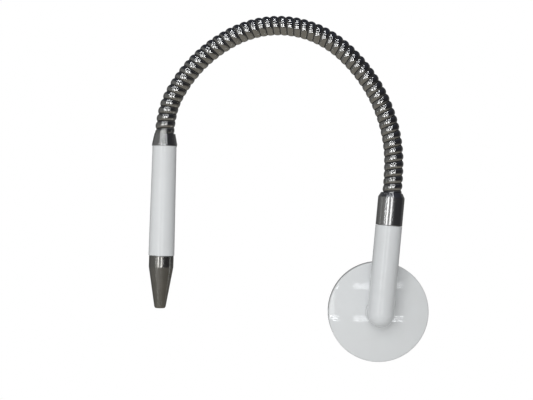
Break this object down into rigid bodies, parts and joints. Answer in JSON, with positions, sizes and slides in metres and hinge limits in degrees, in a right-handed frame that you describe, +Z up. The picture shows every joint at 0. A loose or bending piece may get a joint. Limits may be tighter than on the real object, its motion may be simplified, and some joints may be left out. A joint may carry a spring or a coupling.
{
  "type": "examination lamp",
  "caption": "Wall-mounted examination lamp: round domed base, swivelling white arm, chrome gooseneck and slim LED head with conical nose.",
  "frame": {"origin": "middle of the wall base's back face, where the lamp meets the wall", "axes": "+Y into the wall, +Z up, +X to the right as one faces the wall; the lamp stands out towards -Y"},
  "size_m": [0.277, 0.0476, 0.3409],
  "materials": {
    "zinc_plate": "zinc plated sheet steel",
    "white_gloss": "glossy white moulding",
    "white_enamel": "glossy white enamel on tube",
    "nylon": "natural nylon",
    "zinc_screw": "zinc plated screw",
    "black_plastic": "black moulding",
    "lead_sheath": "grey silicone sheath",
    "brass": "machined brass",
    "chrome": "polished chrome",
    "chrome_neck": "chromed wound steel strip",
    "aluminium": "turned aluminium",
    "board": "white solder resist",
    "phosphor": "yellow phosphor",
    "clear_optic": "clear optic",
    "brushed_steel": "lengthwise brushed stainless steel",
    "grey_rubber": "dark grey elastomer",
    "spring_steel": "spring wire"
  },
  "bodies": {
    "base": {"wall_plate": "zinc_plate", "base_cover": "white_gloss", "swivel_bridge": "zinc_plate", "swivel_bush": "nylon", "stop_pin": "zinc_screw", "led_driver": "black_plastic", "terminal_block": "nylon", "cable_clamp": "nylon", "cover_screw_left": "zinc_screw", "cover_screw_right": "zinc_screw", "bridge_screw_left": "zinc_screw", "bridge_screw_right": "zinc_screw", "driver_screw_left": "zinc_screw", "driver_screw_right": "zinc_screw", "clamp_screw_upper": "zinc_screw", "clamp_screw_lower": "zinc_screw", "terminal_lead": "lead_sheath"},
    "arm": {"swivel_stem": "brass", "swivel_nut": "brass", "stop_washer": "zinc_plate", "swivel_saddle": "white_gloss", "saddle_washer": "zinc_plate", "arm_lock_nut": "brass", "lamp_arm": "white_enamel", "neck_collar": "chrome", "neck_root": "chrome_neck", "collar_screw": "zinc_screw", "supply_lead": "lead_sheath"},
    "neck_01": {"neck_turns_01": "chrome_neck"},
    "neck_02": {"neck_turns_02": "chrome_neck"},
    "neck_03": {"neck_turns_03": "chrome_neck"},
    "neck_04": {"neck_turns_04": "chrome_neck"},
    "neck_05": {"neck_turns_05": "chrome_neck"},
    "neck_06": {"neck_turns_06": "chrome_neck"},
    "neck_07": {"neck_turns_07": "chrome_neck"},
    "neck_08": {"neck_turns_08": "chrome_neck"},
    "neck_09": {"neck_turns_09": "chrome_neck"},
    "neck_10": {"neck_turns_10": "chrome_neck"},
    "neck_11": {"neck_turns_11": "chrome_neck"},
    "neck_12": {"neck_turns_12": "chrome_neck"},
    "neck_13": {"neck_turns_13": "chrome_neck"},
    "neck_14": {"neck_turns_14": "chrome_neck"},
    "neck_15": {"neck_turns_15": "chrome_neck"},
    "head": {"neck_end": "chrome_neck", "head_ferrule": "chrome", "grip_sleeve": "white_gloss", "heat_sink": "aluminium", "led_board": "board", "led_emitter": "phosphor", "lens_retainer": "black_plastic", "condenser_lens": "clear_optic", "nose_cone": "brushed_steel", "front_window": "clear_optic", "window_seal": "grey_rubber", "switch_body": "black_plastic", "button_spring": "spring_steel"},
    "button": {"switch_button": "grey_rubber"}
  },
  "joints": [
    {"name": "arm_swivel", "type": "hinge", "parent": "base", "child": "arm", "pos_m": [0, 0, 0], "axis": [0, 1, 0], "range_deg": [-160.3, 149.7], "deforming": ["supply_lead"]},
    {"name": "neck_lower_bend", "type": "hinge", "parent": "arm", "child": "neck_01", "pos_m": [0.01233, -0.0345, 0.13293], "axis": [0, -1, 0], "range_deg": [-20, 4], "deforming": ["supply_lead"]},
    {"name": "neck_lower_sway", "type": "hinge", "parent": "neck_01", "child": "neck_02", "pos_m": [0.01261, -0.0345, 0.15757], "axis": [0.9974, 0, 0.0721], "range_deg": [-12, 12], "deforming": ["supply_lead"]},
    {"name": "neck_lower_bend_2", "type": "hinge", "parent": "neck_02", "child": "neck_03", "pos_m": [0.00879, -0.0345, 0.18192], "axis": [0, -1, 0], "range_deg": [-20, 4], "deforming": ["supply_lead"]},
    {"name": "neck_lower_bend_3", "type": "hinge", "parent": "neck_03", "child": "neck_04", "pos_m": [0.00099, -0.0345, 0.20529], "axis": [0, -1, 0], "range_deg": [-20, 4], "deforming": ["supply_lead"]},
    {"name": "neck_lower_sway_2", "type": "hinge", "parent": "neck_04", "child": "neck_05", "pos_m": [-0.01059, -0.0345, 0.22705], "axis": [0.8407, 0, 0.5415], "range_deg": [-12, 12], "deforming": ["supply_lead"]},
    {"name": "neck_lower_bend_4", "type": "hinge", "parent": "neck_05", "child": "neck_06", "pos_m": [-0.02561, -0.0345, 0.24658], "axis": [0, -1, 0], "range_deg": [-20, 4], "deforming": ["supply_lead"]},
    {"name": "neck_crown_bend", "type": "hinge", "parent": "neck_06", "child": "neck_07", "pos_m": [-0.04371, -0.0345, 0.2633], "axis": [0, -1, 0], "range_deg": [-28, 2.5], "deforming": ["supply_lead"]},
    {"name": "neck_crown_sway", "type": "hinge", "parent": "neck_07", "child": "neck_08", "pos_m": [-0.06516, -0.0345, 0.27535], "axis": [0.3716, 0, 0.9284], "range_deg": [-12, 12], "deforming": ["supply_lead"]},
    {"name": "neck_crown_bend_2", "type": "hinge", "parent": "neck_08", "child": "neck_09", "pos_m": [-0.08899, -0.0345, 0.28143], "axis": [0, -1, 0], "range_deg": [-28, 2.5], "deforming": ["supply_lead"]},
    {"name": "neck_crown_sway_2", "type": "hinge", "parent": "neck_09", "child": "neck_10", "pos_m": [-0.11359, -0.0345, 0.28111], "axis": [-0.1437, 0, 0.9896], "range_deg": [-12, 12], "deforming": ["supply_lead"]},
    {"name": "neck_crown_bend_3", "type": "hinge", "parent": "neck_10", "child": "neck_11", "pos_m": [-0.13727, -0.0345, 0.27442], "axis": [0, -1, 0], "range_deg": [-28, 2.5], "deforming": ["supply_lead"]},
    {"name": "neck_head_end_bend", "type": "hinge", "parent": "neck_11", "child": "neck_12", "pos_m": [-0.15881, -0.0345, 0.26247], "axis": [0, -1, 0], "range_deg": [-26, 4], "deforming": ["supply_lead"]},
    {"name": "neck_head_end_sway", "type": "hinge", "parent": "neck_12", "child": "neck_13", "pos_m": [-0.17778, -0.0345, 0.24675], "axis": [-0.7067, 0, 0.7075], "range_deg": [-12, 12], "deforming": ["supply_lead"]},
    {"name": "neck_head_end_bend_2", "type": "hinge", "parent": "neck_13", "child": "neck_14", "pos_m": [-0.19352, -0.0345, 0.2278], "axis": [0, -1, 0], "range_deg": [-26, 4], "deforming": ["supply_lead"]},
    {"name": "neck_head_end_sway_2", "type": "hinge", "parent": "neck_14", "child": "neck_15", "pos_m": [-0.20549, -0.0345, 0.20626], "axis": [-0.9351, 0, 0.3544], "range_deg": [-12, 12], "deforming": ["supply_lead"]},
    {"name": "neck_head_end_bend_3", "type": "hinge", "parent": "neck_15", "child": "head", "pos_m": [-0.21078, -0.0345, 0.18231], "axis": [0, -1, 0], "range_deg": [-26, 4], "deforming": ["supply_lead"]},
    {"name": "switch_press", "type": "slide", "parent": "head", "child": "button", "axis": [0, -1, 0], "range_m": [0, 0.0012], "stiffness_N_per_m": 400, "deforming": ["button_spring"]}
  ],
  "couplings": [
    {"joint": "neck_lower_bend_2", "follows": "neck_lower_bend", "ratio": 1},
    {"joint": "neck_lower_bend_3", "follows": "neck_lower_bend", "ratio": 1},
    {"joint": "neck_lower_sway_2", "follows": "neck_lower_sway", "ratio": 1},
    {"joint": "neck_lower_bend_4", "follows": "neck_lower_bend", "ratio": 1},
    {"joint": "neck_crown_bend_2", "follows": "neck_crown_bend", "ratio": 1},
    {"joint": "neck_crown_sway_2", "follows": "neck_crown_sway", "ratio": 1},
    {"joint": "neck_crown_bend_3", "follows": "neck_crown_bend", "ratio": 1},
    {"joint": "neck_head_end_bend_2", "follows": "neck_head_end_bend", "ratio": 1},
    {"joint": "neck_head_end_sway_2", "follows": "neck_head_end_sway", "ratio": 1},
    {"joint": "neck_head_end_bend_3", "follows": "neck_head_end_bend", "ratio": 1}
  ]
}
